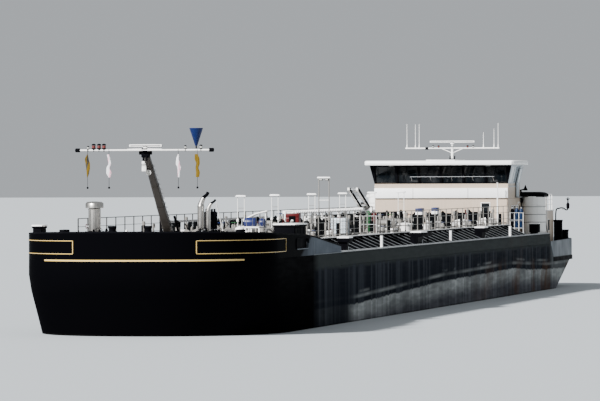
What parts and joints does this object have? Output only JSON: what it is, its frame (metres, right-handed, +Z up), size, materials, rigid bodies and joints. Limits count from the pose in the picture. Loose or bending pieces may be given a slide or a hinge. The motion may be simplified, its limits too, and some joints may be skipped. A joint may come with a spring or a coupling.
{
  "type": "river tank barge with its own engines, as a 1:10 scale model",
  "caption": "Long flat-bottomed river tank barge with a rounded black bow, low cargo trunk, folding masts, wide wheelhouse aft, propeller in a tunnel and twin rudders.",
  "frame": {"origin": "centre of the bounding box's base: under amidships on the centreline, on the flat bottom", "axes": "+X towards the bow, +Y to port, +Z up"},
  "size_m": [11, 1.145, 1.237],
  "materials": {
    "hull_black": "glossy black hull paint, scuffed pale along the side",
    "stern_grey": "satin light grey paint",
    "deck_paint": "matt grey deck paint",
    "rail_white": "weathered white paint on tube",
    "gear_black": "worn black paint",
    "stainless": "brushed stainless steel",
    "mast_brown": "dark weathered paint",
    "house_white": "semi-gloss white paint",
    "signal_blue": "satin blue paint",
    "flag_cloth": "thin woven flag cloth",
    "pipe_grey": "grey pipe paint",
    "drum_blue": "moulded blue plastic",
    "drum_mixed": "painted upright drums",
    "fire_red": "dark red paint",
    "tote_blue": "pale blue moulded plastic",
    "dark_glass": "tinted window glass",
    "helm_black": "dark console and chair",
    "bronze": "cast propeller bronze"
  },
  "bodies": {
    "vessel": {"hull": "hull_black", "bow_bulwark": "hull_black", "stern_bulwark": "stern_grey", "fore_deck": "deck_paint", "trunk": "deck_paint", "vent_line": "rail_white", "side_deck_port": "deck_paint", "side_deck_starboard": "deck_paint", "trunk_rail_port": "rail_white", "trunk_rail_starboard": "rail_white", "mooring_block_port": "gear_black", "mooring_block_starboard": "gear_black", "bow_vent": "stainless", "exhausts": "stainless", "windlass_port": "gear_black", "windlass_starboard": "gear_black", "mast_foot": "gear_black", "cargo_piping": "pipe_grey", "catwalk": "house_white", "hose_crane_post": "house_white", "lamp_frame": "rail_white", "drums_forward": "drum_blue", "drums_midship": "drum_mixed", "water_tank": "house_white", "hose_box_red": "fire_red", "liquid_tote": "tote_blue", "locker_midship": "house_white", "locker_aft": "house_white", "barrels_aft": "drum_blue", "deckhouse": "house_white", "side_casing_port": "house_white", "side_casing_starboard": "house_white", "wheelhouse": "house_white", "wheelhouse_glass_front": "dark_glass", "wheelhouse_glass_rear": "dark_glass", "helm_and_chair": "helm_black", "wheelhouse_roof": "house_white", "roof_mast_foot": "gear_black", "stern_gear_port": "gear_black", "stern_gear_starboard": "gear_black"},
    "foremast": {"foremast": "mast_brown", "foremast_yard": "rail_white", "signal_cone": "signal_blue", "flag_yellow_starboard": "flag_cloth", "flag_pale_starboard": "flag_cloth", "flag_pale_port": "flag_cloth", "flag_yellow_port": "flag_cloth"},
    "foremast_scanner": {"foremast_scanner": "house_white"},
    "hose_crane": {"hose_crane_jib": "rail_white"},
    "door_port": {"wheelhouse_door_port": "house_white"},
    "door_starboard": {"wheelhouse_door_starboard": "house_white"},
    "roof_mast": {"roof_mast": "rail_white"},
    "roof_scanner": {"roof_scanner": "house_white"},
    "propeller": {"propeller": "bronze"},
    "rudder_port": {"rudder_port": "hull_black"},
    "rudder_starboard": {"rudder_starboard": "hull_black"},
    "stern_davit": {"stern_davit": "gear_black"}
  },
  "joints": [
    {"name": "foremast_fold", "type": "hinge", "parent": "vessel", "child": "foremast", "pos_m": [4.575, 0, 0.645], "axis": [0, 1, 0], "range_deg": [0, 20]},
    {"name": "foremast_scanner_spin", "type": "hinge", "parent": "foremast", "child": "foremast_scanner", "pos_m": [5.08, 0, 1.05], "axis": [0, 0, 1], "continuous": true},
    {"name": "hose_crane_slew", "type": "hinge", "parent": "vessel", "child": "hose_crane", "pos_m": [0, 0.11, 0.728], "axis": [0, 0, 1], "range_deg": [-20, 170]},
    {"name": "wheelhouse_door_port_slide", "type": "slide", "parent": "vessel", "child": "door_port", "axis": [-1, 0, 0], "range_m": [0, 0.092]},
    {"name": "wheelhouse_door_starboard_slide", "type": "slide", "parent": "vessel", "child": "door_starboard", "axis": [-1, 0, 0], "range_m": [0, 0.092]},
    {"name": "roof_mast_fold", "type": "hinge", "parent": "vessel", "child": "roof_mast", "pos_m": [-3.77, 0, 1.026], "axis": [0, -1, 0], "range_deg": [0, 85]},
    {"name": "roof_scanner_spin", "type": "hinge", "parent": "roof_mast", "child": "roof_scanner", "pos_m": [-3.77, 0, 1.1], "axis": [0, 0, 1], "continuous": true},
    {"name": "propeller_spin", "type": "hinge", "parent": "vessel", "child": "propeller", "pos_m": [-4.705, 0, 0.092], "axis": [1, 0, 0], "continuous": true},
    {"name": "rudder_port_turn", "type": "hinge", "parent": "vessel", "child": "rudder_port", "pos_m": [-4.92, 0.052, 0.1], "axis": [0, 0, 1], "range_deg": [-45, 45]},
    {"name": "rudder_starboard_turn", "type": "hinge", "parent": "vessel", "child": "rudder_starboard", "pos_m": [-4.92, -0.052, 0.1], "axis": [0, 0, 1], "range_deg": [-45, 45]},
    {"name": "stern_davit_slew", "type": "hinge", "parent": "vessel", "child": "stern_davit", "pos_m": [-4.925, 0.486, 0.4], "axis": [0, 0, 1], "range_deg": [-90, 90]}
  ],
  "couplings": [
    {"joint": "rudder_starboard_turn", "follows": "rudder_port_turn", "ratio": 1}
  ]
}
